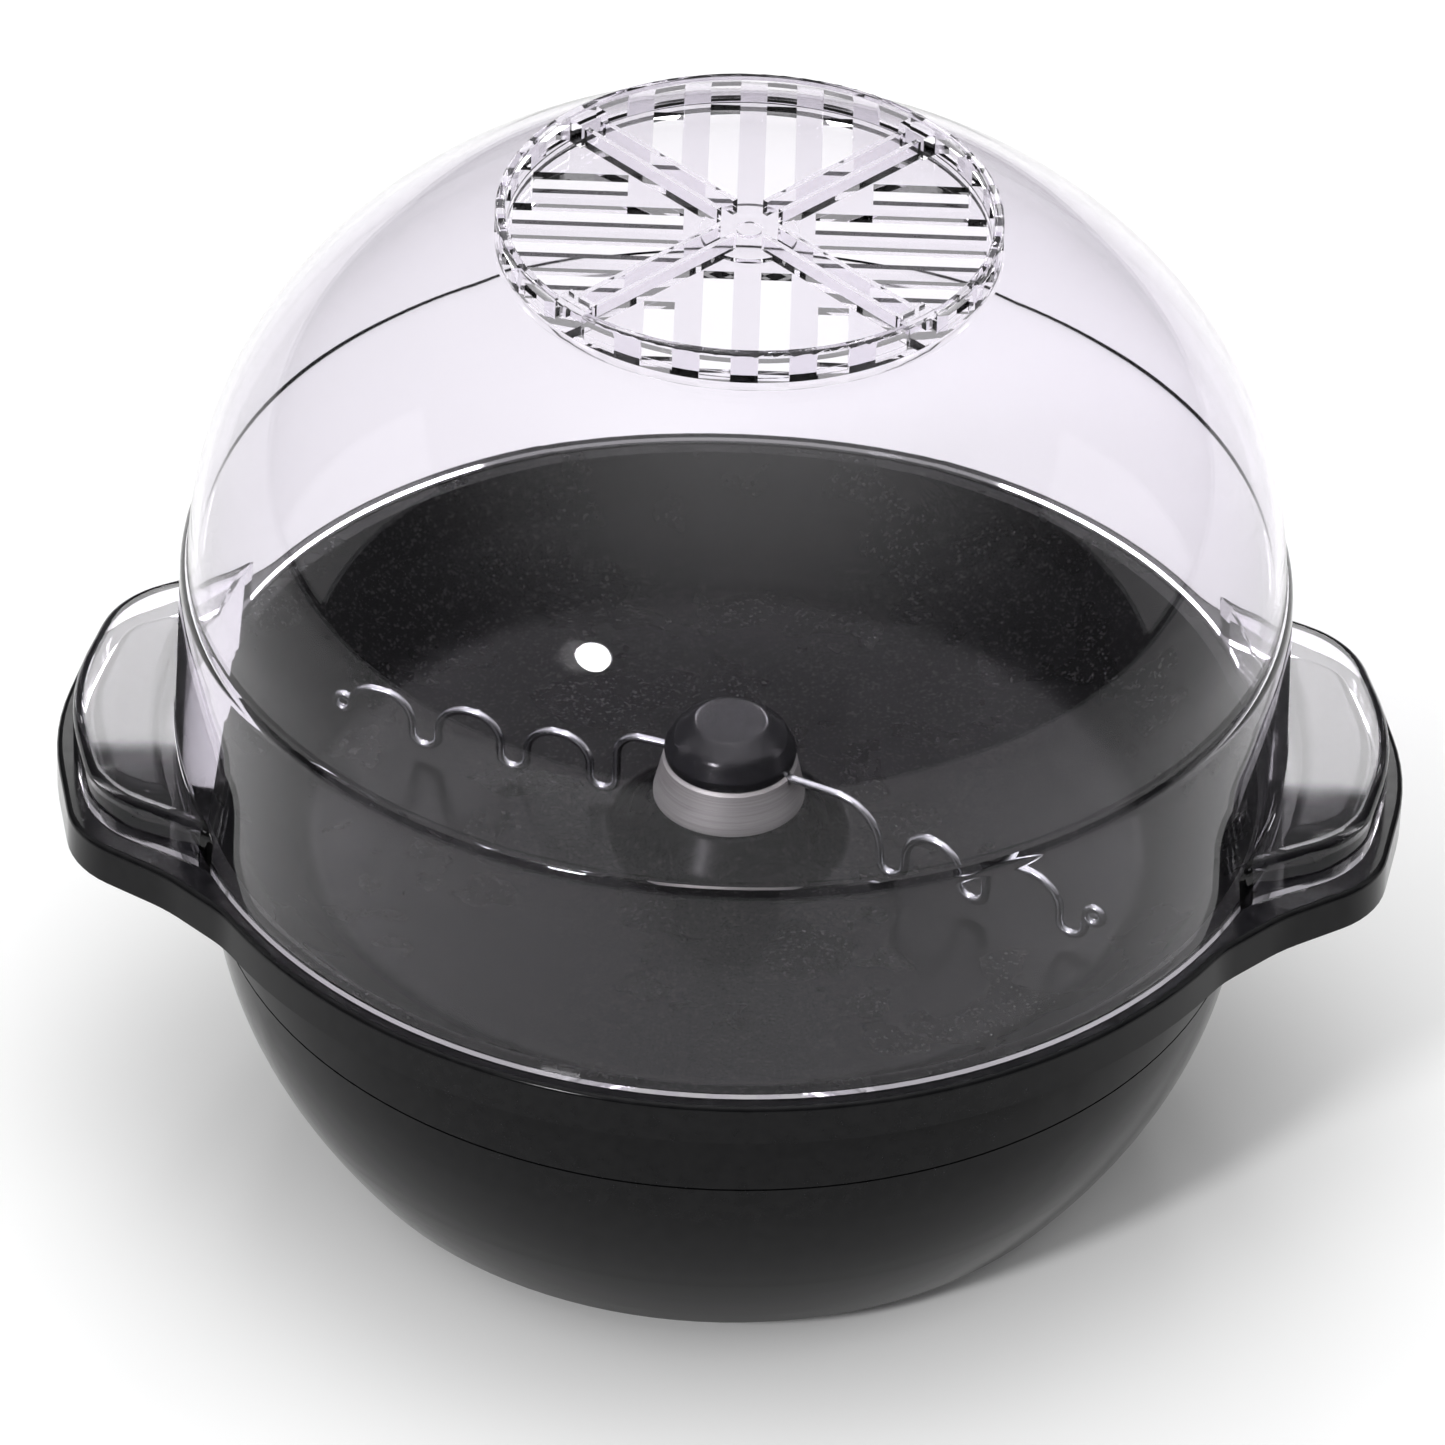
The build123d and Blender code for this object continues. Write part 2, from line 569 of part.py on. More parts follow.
def internal_leads():
    """Insulated leads from the terminal block to heater, cut-outs and motor."""
    cut_x, cut_y = CUTOUT_SPOT
    fuse_x, fuse_y = FUSE_SPOT
    fuse_z = PAN_FLOOR_Z - PAN_T - 3.05
    tab_z = PAN_FLOOR_Z - PAN_T - 15.3
    pin_z = ELEMENT_Z - 21.1
    pin_a = polar(ELEMENT_R, ELEMENT_ENDS[0])
    pin_b = polar(ELEMENT_R, ELEMENT_ENDS[1])
    near = fuse_x + FUSE_LEAD
    far = fuse_x - FUSE_LEAD
    front = BLOCK_Y - 0.1
    runs = [
        lead([(-12, front, 11), (-12, 48, 11), (-60, 30, 20), (-60, -20, 36),
              (cut_x - 5, cut_y - 6, 50), (cut_x - 5, cut_y, tab_z)], 4),
        lead([(cut_x + 5, cut_y, tab_z), (cut_x + 5, cut_y - 5, 58), (*pin_a, 48), (*pin_a, pin_z)], 3),
        lead([(12, front, 11), (12, 48, 11), (20, 44, 30), (near, fuse_y, 50),
              (near, fuse_y, fuse_z), (fuse_x + 13, fuse_y, fuse_z)], 3),
        lead([(fuse_x - 13, fuse_y, fuse_z), (far, fuse_y, fuse_z), (far, fuse_y, 56),
              (-72, 0, 50), (-58, -52, 44), (0, -76, 42), (*pin_b, 46), (*pin_b, pin_z)], 3),
        lead([(-3, front, 11), (-3, 46, 11), (-14, 30, 24), (-19.95, 12, 32)], 4),
    ]
    return Compound([run.solid() for run in runs])


# ---------------------------------------------------------------- stirrer
def stir_collar():
    """Flared metal collar: D bore, pocket for the wire ring, two grooves for the arms."""
    low = HUB_TOP_Z + 0.4
    body = turned([(14, low), (19.6, low), (19.6, low + 1.2), (17.4, COLLAR_TOP_Z - 0.8),
                   (16.6, COLLAR_TOP_Z), (0, COLLAR_TOP_Z), (0, low + 6), (12.5, low + 6)])
    body -= cyl(7.3, WIRE_Z - WIRE_R - 0.15, COLLAR_TOP_Z + 1)
    bore = cyl(SHAFT_R + 0.08, low, COLLAR_TOP_Z) - block(D_FLAT + 0.08, 6, -6, 6, low, COLLAR_TOP_Z)
    body -= bore
    for angle in (LEFT_ARM, RIGHT_ARM):
        groove = block(6, 22, -1.3, 1.3, WIRE_Z - WIRE_R - 0.15, COLLAR_TOP_Z + 1)
        body -= around(angle, groove)
    return body


def arm(corners, bends, direction, eye_r, eye_z):
    """One wavy arm in a vertical plane, ending in a small closed eye."""
    path = FilletPolyline(*[(r, 0, z) for r, z in corners], radius=bends)
    wire = sweep(Plane(origin=path @ 0, z_dir=path % 0) * Circle(WIRE_R), path)
    eye = Pos(eye_r, 0, eye_z) * Rot(90, 0, 0) * Torus(2 * WIRE_R, WIRE_R)
    return around(direction, wire + eye)


def waves(legs, crest):
    """Corners of a square wave between vertical legs, starting at its foot."""
    corners = []
    for index, leg in enumerate(legs):
        high = index % 2 == 1
        start, end = (WAVE_Z, crest) if high else (crest, WAVE_Z)
        corners += [(leg, start), (leg, end)]
    return corners


def stirring_rod():
    """One bent wire: a ring round the shaft and two waved arms that sweep the floor."""
    ring = Pos(0, 0, WIRE_Z) * Torus(SHAFT_R + 0.35 + WIRE_R, WIRE_R)
    inner = SHAFT_R + 0.35 + WIRE_R
    crest = WAVE_Z + 14.2
    trough = 3.5
    eye_z = 97.6
    left_legs = [30.8, 38.1, 55.5, 62.8, 80.2, 87.5]
    left = [(inner, WIRE_Z), (left_legs[0], WIRE_Z), *waves(left_legs, crest)[1:],
            (104.7, crest), (104.7, eye_z)]
    left_bends = [6.5] + [trough, trough, 8, 8] * 2 + [trough, trough, 8, 6.2]
    right_legs = [43.6, 50.8, 66.6, 74.0, 94.6, 101.9]
    right = [(inner, WIRE_Z), (right_legs[0], WIRE_Z), *waves(right_legs, crest)[1:-1],
             (right_legs[-1], eye_z)]
    right_bends = [13] + [trough, trough, 7.8, 7.8] + [trough, trough, 8, 8] + [trough, trough]
    left_arm = arm(left, left_bends, LEFT_ARM, 104.7 + 2 * WIRE_R, eye_z)
    right_arm = arm(right, right_bends, RIGHT_ARM, right_legs[-1] + 2 * WIRE_R, eye_z)
    return ring + left_arm + right_arm


def knob():
    """Domed knob with eight thumb recesses, bored for its metal insert."""
    edge = FilletPolyline((0, 0, KNOB_TOP_Z), (9.8, 0, KNOB_TOP_Z), (14.6, 0, KNOB_TOP_Z - 3.6),
                          (KNOB_R, 0, KNOB_Z + 2.4), (KNOB_R - 0.4, 0, KNOB_Z), radius=[3, 6, 2.2])
    base = Polyline((KNOB_R - 0.4, 0, KNOB_Z), (0, 0, KNOB_Z), (0, 0, KNOB_TOP_Z))
    body = revolve(make_face(edge + base), Axis.Z)
    for turn in range(8):
        dish = extrude(SlotOverall(7.2, 5.4, 90), 6, both=True)
        dish = Pos(17.6, 0, KNOB_Z + 6) * Rot(0, 62, 0) * Pos(0, 0, 5.2) * dish
        body -= around(22.5 + 45 * turn, dish)
    return body - cyl(4.5, KNOB_Z - 1, STUD_TOP_Z + 0.6)


def knob_insert():
    """Brass insert that threads on to the shaft's stud."""
    top = STUD_TOP_Z + 0.6
    body = cyl(4.5, KNOB_Z + 0.1, top)
    return body - cyl(STUD_R + 0.08, KNOB_Z - 1, STUD_TOP_Z + 0.3)


# ---------------------------------------------------------------- cover
def dome_height(radius, inset):
    """Height of the dome skin over the drive axis at a radius."""
    spread = DOME_R - inset
    return CREASE_Z + (DOME_H - inset) * sqrt(max(0.0, 1 - (radius / spread) ** 2))


def dome_section():
    """Closed half section of the cover's wall, from its rim up to the vent."""
    outer_r = [DOME_R, DOME_R - 3, 125, 108, 90]
    inner_r = [DOME_R - COVER_T, DOME_R - COVER_T - 3, 122, 105, 88]
    outer = [(r, 0, dome_height(r, 0)) for r in outer_r[1:]]
    inner = [(r, 0, dome_height(r, COVER_T)) for r in inner_r[1:]]
    skirt_out = Line((COVER_R, 0, COVER_Z), (CREASE_R, 0, CREASE_Z - 3))
    step = Spline((CREASE_R, 0, CREASE_Z - 3), (CREASE_R - 0.6, 0, CREASE_Z - 0.6),
                  (DOME_R, 0, CREASE_Z + 1.4), tangents=[(-0.03, 0, 1), (0, 0, 1)])
    crown_out = Spline((DOME_R, 0, CREASE_Z + 1.4), *outer, (VENT_R, 0, VENT_BASE_Z),
                       tangents=[(0, 0, 1), (-1, 0, 0.2)])
    vent_edge = Line((VENT_R, 0, VENT_BASE_Z), (VENT_R, 0, VENT_BASE_Z - COVER_T))
    crown_in = Spline((VENT_R, 0, VENT_BASE_Z - COVER_T), *reversed(inner),
                      (DOME_R - COVER_T, 0, CREASE_Z), tangents=[(1, 0, -0.2), (0, 0, -1)])
    skirt_in = Line((DOME_R - COVER_T, 0, CREASE_Z), (COVER_R - COVER_T, 0, COVER_Z))
    foot = Line((COVER_R - COVER_T, 0, COVER_Z), (COVER_R, 0, COVER_Z))
    return make_face(skirt_out + step + crown_out + vent_edge + crown_in + skirt_in + foot)


def cover_outline(inset):
    """Outline of the cover's foot with its two handles, measured in from its outside."""
    face = lobe((104, 80 - inset), (136 - inset, 55 - inset), (161 - inset, 42 - inset),
                171 - inset, [28, 28, 80])
    return ring_with_lobes(COVER_R - 0.6 - inset, face, 14)


def cover_handles():
    """Hollow trays over the housing's grips, open below, closed by the dome's wall."""
    tray = prism(cover_outline(0), COVER_Z, COVER_LOBE_Z)
    top_edges = tray.edges().filter_by(lambda e: e.bounding_box().min.Z > COVER_LOBE_Z - 0.1)
    tray = fillet(top_edges, 3)
    room = prism(cover_outline(2.2), COVER_Z - 1, COVER_LOBE_Z - 2.2)
    room -= cyl(COVER_R - 1.2, COVER_Z - 2, COVER_LOBE_Z + 1)
    return tray - room - cyl(COVER_R - 1.6, COVER_Z - 2, COVER_LOBE_Z + 1)


def vent():
    """Slotted grille, recessed in a raised ring and crossed by four ribs."""
    ring = tube(VENT_R, VENT_R - 2.6, VENT_BASE_Z - COVER_T, VENT_TOP_Z)
    ring = fillet(ring.edges().filter_by(lambda e: e.bounding_box().min.Z > VENT_TOP_Z - 0.1), 0.8)
    plate = cyl(VENT_R - 2, GRILLE_Z, GRILLE_Z + 2.2)
    vent_body = ring + plate
    pitch = 14.2
    slot = 7.5
    for turn in range(4):
        for place in (-2.5, -1.5, -0.5, 0.5, 1.5, 2.5):
            x = place * pitch
            near = abs(x) + slot / 2 + 5.5
            far = sqrt((VENT_R - 3.2) ** 2 - (abs(x) + slot / 2) ** 2)
            if far - near > 4:
                hole = block(x - slot / 2, x + slot / 2, -far, -near, GRILLE_Z - 1, GRILLE_Z + 4)
                vent_body -= around(90 * turn, hole)
            mid = sqrt((VENT_R - 1) ** 2 - x ** 2)
            window = block(x - slot / 2, x + slot / 2, -mid - 7, -mid + 5,
                           VENT_BASE_Z + 1.6, VENT_TOP_Z - 2.4)
            vent_body -= around(90 * turn, window)
    for turn in range(4):
        rib = block(8, VENT_R - 1.5, -3.5, 3.5, GRILLE_Z + 1, VENT_TOP_Z - 2)
        rib = rib - block(8, VENT_R - 6, -2, 2, GRILLE_Z + 3.4, VENT_TOP_Z)
        post = block(VENT_R - 7, VENT_R - 1, -4.5, 4.5, GRILLE_Z + 1, VENT_TOP_Z - 0.6)
        vent_body += around(45 + 90 * turn, rib + post)
    hub = cyl(12.5, GRILLE_Z, GRILLE_Z + 3.4) + cyl(3.2, GRILLE_Z + 3, GRILLE_Z + 4.2)
    return vent_body + hub


def cover():
    """Clear one-piece cover: dome, slotted vent and two hollow handles."""
    body = revolve(dome_section(), Axis.Z)
    return body + cover_handles() + vent()


NODES = {
    "rubber_feet": rubber_feet, "base_plate": base_plate, "base_screws": base_screws,
    "lower_housing": lower_housing, "upper_housing": upper_housing, "seam_screws": seam_screws,
    "cord_bush": cord_bush, "terminal_block": terminal_block, "internal_leads": internal_leads,
    "pan": pan, "heating_element": heating_element, "element_clips": element_clips,
    "thermostat": thermostat, "thermal_fuse": thermal_fuse, "pan_studs": pan_studs,
    "stud_nuts": stud_nuts, "heat_shield": heat_shield, "drive_bracket": drive_bracket,
    "gear_case": gear_case, "gear_plate": gear_plate, "gear_post": gear_post,
    "case_screws": case_screws, "case_nuts": case_nuts, "shaft_bushes": shaft_bushes,
    "shaft_seal": shaft_seal, "motor_can": motor_can, "motor_screws": motor_screws,
    "motor_coil": motor_coil, "rotor_bushes": rotor_bushes, "rotor": rotor,
    "rotor_shaft": rotor_shaft, "pinion": pinion, "compound_gear": compound_gear,
    "output_gear": output_gear, "drive_shaft": drive_shaft, "stir_collar": stir_collar,
    "stirring_rod": stirring_rod, "knob": knob, "knob_insert": knob_insert, "cover": cover,
}

if __name__ == "__main__":
    os.makedirs("parts", exist_ok=True)
    for name, make in NODES.items():
        export_step(make(), f"parts/{name}.step")
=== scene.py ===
import json
import math

import bmesh
import bpy
from mathutils import Matrix, Vector


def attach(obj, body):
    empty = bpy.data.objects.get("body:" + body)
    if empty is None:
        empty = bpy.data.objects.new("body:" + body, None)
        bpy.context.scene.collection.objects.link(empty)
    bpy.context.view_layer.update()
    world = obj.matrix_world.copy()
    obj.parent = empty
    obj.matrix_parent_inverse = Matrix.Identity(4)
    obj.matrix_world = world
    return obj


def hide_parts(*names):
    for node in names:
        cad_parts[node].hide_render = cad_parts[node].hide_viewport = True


# Looks of the stirring popcorn maker. Metres, +Z up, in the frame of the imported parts.
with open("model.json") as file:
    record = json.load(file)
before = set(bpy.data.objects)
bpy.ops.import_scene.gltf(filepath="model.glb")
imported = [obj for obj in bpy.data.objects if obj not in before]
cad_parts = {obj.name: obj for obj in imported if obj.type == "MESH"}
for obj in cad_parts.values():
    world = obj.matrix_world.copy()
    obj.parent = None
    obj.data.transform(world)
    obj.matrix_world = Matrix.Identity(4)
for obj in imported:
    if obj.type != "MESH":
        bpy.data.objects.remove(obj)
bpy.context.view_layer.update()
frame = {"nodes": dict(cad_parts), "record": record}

MM = 0.001
MERGE = 2e-6                    # metres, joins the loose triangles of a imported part
ROUND_STEPS = 144               # segments round a turned piece
PLASTIC_IOR = 1.5               # plain plastics and coatings
SOFT_ANGLE = 28                 # degrees, edges that bend less than this are shaded smooth
WIRE_ANGLE = 40                 # the same for the wire
COVER_ANGLE = 25                # the same for the cover
ALONG_X = (1, 8, 1)             # grain squeezed in Y, which leaves marks along X
TURNED = (1, 1, 20)             # grain squeezed in Z, which leaves rings round Z
WOUND = (1, 1, 4)               # the same, broader, like windings


# ---------------------------------------------------------------- finishes
def new_finish(name):
    material = bpy.data.materials.new(name)
    material.use_nodes = True
    tree = material.node_tree
    return material, tree, tree.nodes["Principled BSDF"]


def place_in_object(tree, scale=(1, 1, 1)):
    """Object coordinates through a Mapping node."""
    coords = tree.nodes.new("ShaderNodeTexCoord")
    mapping = tree.nodes.new("ShaderNodeMapping")
    mapping.inputs["Scale"].default_value = scale
    tree.links.new(coords.outputs["Object"], mapping.inputs["Vector"])
    return mapping.outputs["Vector"]


def noise(tree, vector, scale, detail=3.0, rough=0.5):
    node = tree.nodes.new("ShaderNodeTexNoise")
    node.inputs["Scale"].default_value = scale
    node.inputs["Detail"].default_value = detail
    node.inputs["Roughness"].default_value = rough
    tree.links.new(vector, node.inputs["Vector"])
    return node.outputs["Fac"]


def spread(tree, value, low, high, out_low, out_high):
    node = tree.nodes.new("ShaderNodeMapRange")
    node.inputs["From Min"].default_value = low
    node.inputs["From Max"].default_value = high
    node.inputs["To Min"].default_value = out_low
    node.inputs["To Max"].default_value = out_high
    tree.links.new(value, node.inputs["Value"])
    return node.outputs["Result"]


def two_tone(tree, value, dark, light, low=0.35, high=0.65):
    ramp = tree.nodes.new("ShaderNodeValToRGB")
    ramp.color_ramp.elements[0].position = low
    ramp.color_ramp.elements[0].color = (*dark, 1)
    ramp.color_ramp.elements[1].position = high
    ramp.color_ramp.elements[1].color = (*light, 1)
    tree.links.new(value, ramp.inputs["Fac"])
    return ramp.outputs["Color"]


def bump(tree, height, strength, distance):
    node = tree.nodes.new("ShaderNodeBump")
    node.inputs["Strength"].default_value = strength
    node.inputs["Distance"].default_value = distance
    tree.links.new(height, node.inputs["Height"])
    return node.outputs["Normal"]


def grained(name, dark, light, rough, grain, relief, metal=0.0, stretch=(1, 1, 1)):
    """Two close tones, uneven gloss and a fine relief, all on one grain size per metre."""
    material, tree, shader = new_finish(name)
    vector = place_in_object(tree, stretch)
    coarse = noise(tree, vector, grain * 0.2)
    fine = noise(tree, vector, grain, detail=5.0, rough=0.6)
    tree.links.new(two_tone(tree, coarse, dark, light), shader.inputs["Base Color"])
    tree.links.new(spread(tree, fine, 0.3, 0.7, *rough), shader.inputs["Roughness"])
    tree.links.new(bump(tree, fine, 0.35, relief), shader.inputs["Normal"])
    shader.inputs["Metallic"].default_value = metal
    shader.inputs["IOR"].default_value = PLASTIC_IOR
    return material


def moulded_black_gloss():
    """Polished black moulding with faint sink waviness."""
    material, tree, shader = new_finish("moulded_black_gloss")
    vector = place_in_object(tree)
    swell = noise(tree, vector, 14, detail=1.0)
    haze = noise(tree, vector, 320, detail=4.0)
    tree.links.new(two_tone(tree, haze, (0.0035, 0.0035, 0.004), (0.006, 0.006, 0.0065)),
                   shader.inputs["Base Color"])
    tree.links.new(spread(tree, haze, 0.3, 0.7, 0.10, 0.17), shader.inputs["Roughness"])
    tree.links.new(bump(tree, swell, 0.12, 0.0008), shader.inputs["Normal"])
    shader.inputs["IOR"].default_value = 1.42
    shader.inputs["Specular IOR Level"].default_value = 0.15
    return material


def nonstick_coating():
    """Dark coating with fine bright flakes in it."""
    material, tree, shader = new_finish("nonstick_coating")
    vector = place_in_object(tree)
    cells = tree.nodes.new("ShaderNodeTexVoronoi")
    cells.inputs["Scale"].default_value = 1500
    tree.links.new(vector, cells.inputs["Vector"])
    pick = tree.nodes.new("ShaderNodeSeparateColor")
    tree.links.new(cells.outputs["Color"], pick.inputs["Color"])
    flakes = two_tone(tree, pick.outputs["Red"], (0.0015, 0.0015, 0.0017),
                      (0.018, 0.0175, 0.017), 0.82, 0.98)
    tree.links.new(flakes, shader.inputs["Base Color"])
    wear = noise(tree, vector, 40, detail=3.0)
    tree.links.new(spread(tree, wear, 0.3, 0.7, 0.26, 0.30), shader.inputs["Roughness"])
    shader.inputs["Specular IOR Level"].default_value = 0.07
    fine = noise(tree, vector, 1400, detail=2.0)
    tree.links.new(bump(tree, fine, 0.12, 0.0001), shader.inputs["Normal"])
    shader.inputs["IOR"].default_value = PLASTIC_IOR
    return material


def clear_plastic():
    """Clear, faintly violet-grey moulding with a slight flow ripple; it lets lamps through."""
    material, tree, shader = new_finish("clear_plastic")
    vector = place_in_object(tree)
    ripple = noise(tree, vector, 22, detail=2.0)
    tree.links.new(bump(tree, ripple, 0.04, 0.0006), shader.inputs["Normal"])
    tint = noise(tree, vector, 6, detail=1.0)
    tone = two_tone(tree, tint, (0.895, 0.875, 0.915), (0.915, 0.90, 0.935))
    tree.links.new(tone, shader.inputs["Base Color"])
    shader.inputs["Roughness"].default_value = 0.02
    shader.inputs["IOR"].default_value = 1.26
    shader.inputs["Transmission Weight"].default_value = 1.0
    open_way = tree.nodes.new("ShaderNodeBsdfTransparent")
    open_way.inputs["Color"].default_value = (0.93, 0.92, 0.945, 1)
    path = tree.nodes.new("ShaderNodeLightPath")
    mix = tree.nodes.new("ShaderNodeMixShader")
    output = tree.nodes["Material Output"]
    tree.links.new(path.outputs["Is Shadow Ray"], mix.inputs[0])
    tree.links.new(shader.outputs["BSDF"], mix.inputs[1])
    tree.links.new(open_way.outputs["BSDF"], mix.inputs[2])
    tree.links.new(mix.outputs["Shader"], output.inputs["Surface"])
    return material


def turned_satin_metal():
    """Satin metal with fine rings left by turning, round the vertical axis."""
    material, tree, shader = new_finish("turned_satin_metal")
    vector = place_in_object(tree, (1, 1, 60))
    lines = noise(tree, vector, 40, detail=4.0)
    tree.links.new(two_tone(tree, lines, (0.36, 0.35, 0.335), (0.46, 0.45, 0.43)),
                   shader.inputs["Base Color"])
    tree.links.new(spread(tree, lines, 0.3, 0.7, 0.40, 0.50), shader.inputs["Roughness"])
    tree.links.new(bump(tree, lines, 0.08, 0.0001), shader.inputs["Normal"])
    shader.inputs["Metallic"].default_value = 0.7
    return material


FINISHES = {
    "foot_rubber": grained("soft_foot_rubber", (0.02, 0.02, 0.02), (0.035, 0.035, 0.035),
                           (0.7, 0.85), 500, 0.0002),
    "grey_plastic": grained("grey_foot_moulding", (0.13, 0.13, 0.135), (0.17, 0.17, 0.175),
                            (0.35, 0.5), 900, 0.0001),
    "zinc_steel": grained("zinc_plated_steel", (0.50, 0.51, 0.53), (0.64, 0.65, 0.66),
                          (0.25, 0.4), 700, 0.00008, 1.0),
    "black_gloss": moulded_black_gloss(),
    "bush_rubber": grained("bush_rubber", (0.03, 0.03, 0.03), (0.05, 0.05, 0.05),
                           (0.6, 0.75), 500, 0.0002),
    "white_plastic": grained("off_white_terminal_plastic", (0.70, 0.69, 0.64), (0.80, 0.79, 0.74),
                             (0.4, 0.55), 400, 0.0001),
    "lead_insulation": grained("pale_lead_sleeve", (0.66, 0.66, 0.62), (0.78, 0.78, 0.74),
                               (0.4, 0.55), 600, 0.0001),
    "nonstick_pan": nonstick_coating(),
    "element_sheath": grained("heat_browned_sheath", (0.18, 0.15, 0.13), (0.32, 0.30, 0.28),
                              (0.4, 0.6), 300, 0.0001, 1.0),
    "plated_sheet": grained("plated_sheet", (0.56, 0.57, 0.58), (0.70, 0.70, 0.71),
                            (0.25, 0.42), 500, 0.00008, 1.0),
    "thermostat_black": grained("phenolic_black", (0.04, 0.033, 0.03), (0.07, 0.06, 0.055),
                                (0.45, 0.6), 700, 0.0001),
    "shield_aluminium": grained("mill_aluminium", (0.70, 0.70, 0.71), (0.84, 0.84, 0.85),
                                (0.28, 0.45), 200, 0.0001, 1.0, ALONG_X),
    "shaft_steel": grained("ground_steel", (0.58, 0.58, 0.59), (0.72, 0.72, 0.73),
                           (0.18, 0.3), 400, 0.00005, 1.0, TURNED),
    "bush_brass": grained("turned_brass", (0.62, 0.45, 0.20), (0.76, 0.58, 0.30),
                          (0.22, 0.36), 400, 0.00005, 1.0, TURNED),
    "seal_silicone": grained("red_silicone", (0.42, 0.09, 0.06), (0.54, 0.14, 0.09),
                             (0.5, 0.65), 500, 0.0001),
    "coil_copper": grained("enamelled_copper", (0.48, 0.19, 0.08), (0.66, 0.31, 0.15),
                           (0.2, 0.35), 900, 0.0003, 1.0, WOUND),
    "rotor_iron": grained("sintered_iron", (0.10, 0.10, 0.105), (0.18, 0.18, 0.19),
                          (0.45, 0.65), 900, 0.0002, 1.0),
    "gear_nylon": grained("natural_nylon", (0.80, 0.79, 0.72), (0.88, 0.87, 0.81),
                          (0.35, 0.5), 400, 0.0001),
    "collar_metal": turned_satin_metal(),
    "wire_steel": grained("bright_drawn_wire", (0.50, 0.51, 0.53), (0.70, 0.71, 0.73),
                          (0.14, 0.26), 500, 0.00006, 1.0),
    "knob_black": grained("semi_gloss_knob", (0.006, 0.006, 0.007), (0.009, 0.009, 0.010),
                          (0.17, 0.22), 900, 0.00002),
    "clear_cover": clear_plastic(),
}


# ---------------------------------------------------------------- pieces
def finished(shape, piece_name, body, slot, stands_for, crease):
    """Turns a bmesh into a smooth piece that rides on its body and shows its finish."""
    limit = math.radians(crease)
    for edge in shape.edges:
        edge.smooth = len(edge.link_faces) == 2 and edge.calc_face_angle(0) < limit
    for face in shape.faces:
        face.smooth = True
        face.material_index = 0
    mesh = bpy.data.meshes.new(piece_name)
    shape.to_mesh(mesh)
    shape.free()
    piece = bpy.data.objects.new(piece_name, mesh)
    bpy.context.scene.collection.objects.link(piece)
    weigh = piece.modifiers.new("even_shading", "WEIGHTED_NORMAL")
    weigh.keep_sharp = True
    piece.data.materials.append(FINISHES[slot])
    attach(piece, body)
    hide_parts(*stands_for)
    return piece


def smooth_copy(node_name, piece_name, body, slot, crease):
    """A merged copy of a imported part, smooth apart from its sharp edges."""
    shape = bmesh.new()
    shape.from_mesh(frame["nodes"][node_name].data)
    bmesh.ops.remove_doubles(shape, verts=shape.verts, dist=MERGE)
    bmesh.ops.dissolve_degenerate(shape, edges=shape.edges, dist=MERGE)
    return finished(shape, piece_name, body, slot, (node_name,), crease)


# Clear cover: its skin is turned afresh so that its wall is even, and its vent and trays are kept.
SKIRT_FOOT = Vector((143.0, 0, 111.3)) * MM
SKIRT_TOP = Vector((141.0, 0, 169.5)) * MM
CREASE = (Vector((140.5, 0, 171.7)) * MM, Vector((139.4, 0, 173.2)) * MM)
CROWN_CENTRE_Z = 172.5 * MM
CROWN_REACH = 139.0 * MM
CROWN_RISE = 112.0 * MM
SHOULDER_R = 90.0 * MM
VENT_EDGE = Vector((63.0, 0, 269.0)) * MM
VENT_SLOPE = -0.2
SKIN_T = 2.4 * MM
NEAR = 0.08 * MM                # how close a vertex is to a surface to count as on it
SKIRT_STEPS = 8
CROWN_STEPS = 24
SHOULDER_STEPS = 8
CROWN_START = math.radians(1.5)  # where the crown leaves the crease
VENT_REACH = 64.0 * MM          # the vent's own edges lie inside this
VENT_TOP_SEAM = (268 * MM, 270 * MM)
VENT_LOW_SEAM = (266 * MM, 268 * MM)
VENT_GAP = Vector((0.25 * MM, 0, -0.05 * MM))    # from the vent's edge to the skin's end
SEAM_DROP = SKIN_T - 0.1 * MM   # height between the skin's two ends at the vent
TRAY_LIMIT_Z = 0.2              # metres, the handle trays lie below this
TRAY_ROOM = 1.0012              # scale that keeps a capped tray just clear of the skirt


def crown_z(radius):
    return CROWN_CENTRE_Z + CROWN_RISE * math.sqrt(1 - (radius / CROWN_REACH) ** 2)


def shoulder_curve():
    """Points from the crown's shoulder to the vent, leaving each end along its slope."""
    start = Vector((SHOULDER_R, 0, crown_z(SHOULDER_R)))
    start_slope = -(CROWN_RISE / CROWN_REACH) ** 2 * SHOULDER_R / (start.z - CROWN_CENTRE_Z)
    run = start.x - VENT_EDGE.x
    points = []
    for step in range(1, SHOULDER_STEPS + 1):
        t = step / SHOULDER_STEPS
        lift = (2 * t ** 3 - 3 * t ** 2 + 1) * start.z + (3 * t ** 2 - 2 * t ** 3) * VENT_EDGE.z
        lift -= run * ((t ** 3 - 2 * t ** 2 + t) * start_slope + (t ** 3 - t ** 2) * VENT_SLOPE)
        points.append(Vector((start.x - run * t, 0, lift)))
    return points


def skin_profile():
    """Outside of the skin from its foot to the vent."""
    skirt = [SKIRT_FOOT.lerp(SKIRT_TOP, step / SKIRT_STEPS) for step in range(SKIRT_STEPS + 1)]
    crown = []
    last = math.acos(SHOULDER_R / CROWN_REACH)
    for step in range(1, CROWN_STEPS + 1):
        turn = CROWN_START + (last - CROWN_START) * step / CROWN_STEPS
        crown.append(Vector((CROWN_REACH * math.cos(turn), 0,
                             CROWN_CENTRE_Z + CROWN_RISE * math.sin(turn))))
    return skirt + list(CREASE) + crown + shoulder_curve()


